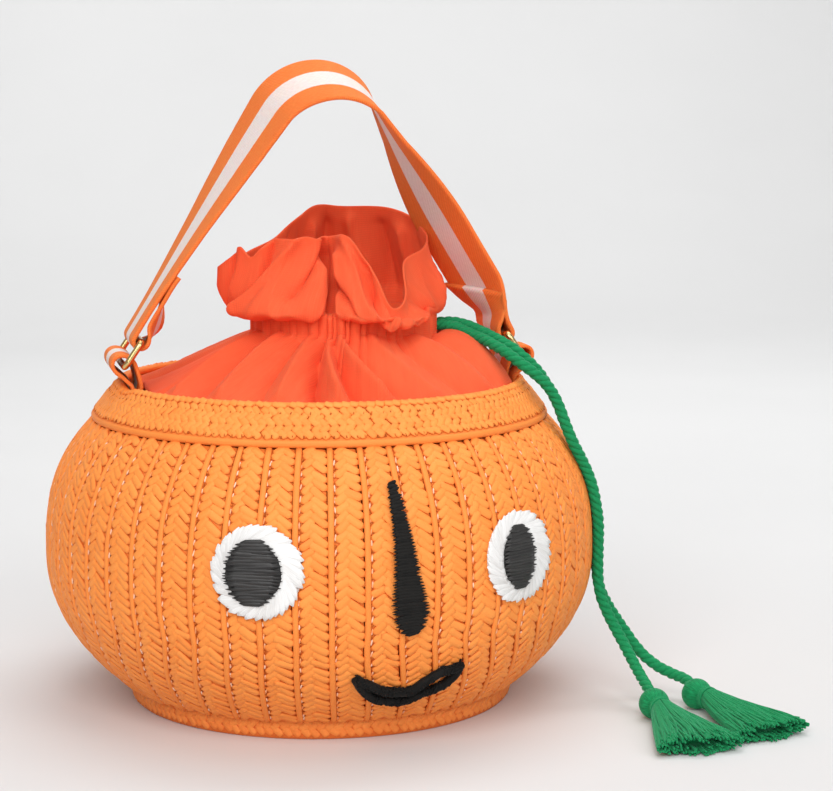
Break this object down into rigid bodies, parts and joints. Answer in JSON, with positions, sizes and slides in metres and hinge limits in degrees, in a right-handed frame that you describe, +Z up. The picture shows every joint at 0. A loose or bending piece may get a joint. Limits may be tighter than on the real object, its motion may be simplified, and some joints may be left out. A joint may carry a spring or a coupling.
{
  "type": "wicker trick-or-treat bag",
  "caption": "Round basket bag of lapped stitched plaits with a stitched grinning face, a gathered cloth top drawn by tasselled cords, and a striped webbing handle on wire rings.",
  "frame": {"origin": "middle of the foot band on the ground", "axes": "+Z up, -Y the way the face looks, X through both handle rings"},
  "size_m": [0.3188, 0.2695, 0.2912],
  "materials": {
    "wicker": "satin",
    "cloth": "matte",
    "green_cord": "matte",
    "webbing": "matte",
    "ring_metal": "polished",
    "white_raffia": "satin",
    "black_raffia": "satin",
    "black_wool": "matte"
  },
  "bodies": {
    "bag": {"side_plaits_right_rear": "wicker", "side_plaits_left_rear": "wicker", "side_plaits_left_front": "wicker", "side_plaits_right_front": "wicker", "rim_band": "wicker", "foot_band": "wicker", "base_disc": "wicker", "lining": "cloth", "cloth_cover": "cloth", "neck_casing": "cloth", "frill": "cloth", "drawstring_loop": "green_cord", "drawstring_front": "green_cord", "drawstring_rear": "green_cord", "tassel_head_front": "green_cord", "tassel_binding_front": "green_cord", "tassel_skirt_front": "green_cord", "tassel_head_rear": "green_cord", "tassel_binding_rear": "green_cord", "tassel_skirt_rear": "green_cord", "tab_left": "webbing", "tab_right": "webbing", "eye_white_left": "white_raffia", "eye_pupil_left": "black_raffia", "eye_white_right": "white_raffia", "eye_pupil_right": "black_raffia", "nose": "black_wool", "mouth": "black_wool"},
    "handle": {"handle_strap": "webbing"},
    "ring_left": {"ring_left": "ring_metal"},
    "ring_right": {"ring_right": "ring_metal"}
  },
  "joints": [
    {"name": "handle_swing", "type": "hinge", "parent": "bag", "child": "handle", "pos_m": [0, 0, 0.1555], "axis": [1, 0, 0], "range_deg": [-19, 16], "deforming": ["tab_left", "tab_right"]},
    {"name": "ring_left_pivot", "type": "hinge", "parent": "handle", "child": "ring_left", "pos_m": [-0.0835, 0, 0.1665], "axis": [0, 1, 0], "range_deg": [-12, 12], "deforming": ["tab_left"]},
    {"name": "ring_right_pivot", "type": "hinge", "parent": "handle", "child": "ring_right", "pos_m": [0.0835, 0, 0.1665], "axis": [0, 1, 0], "range_deg": [-12, 12], "deforming": ["tab_right"]}
  ]
}
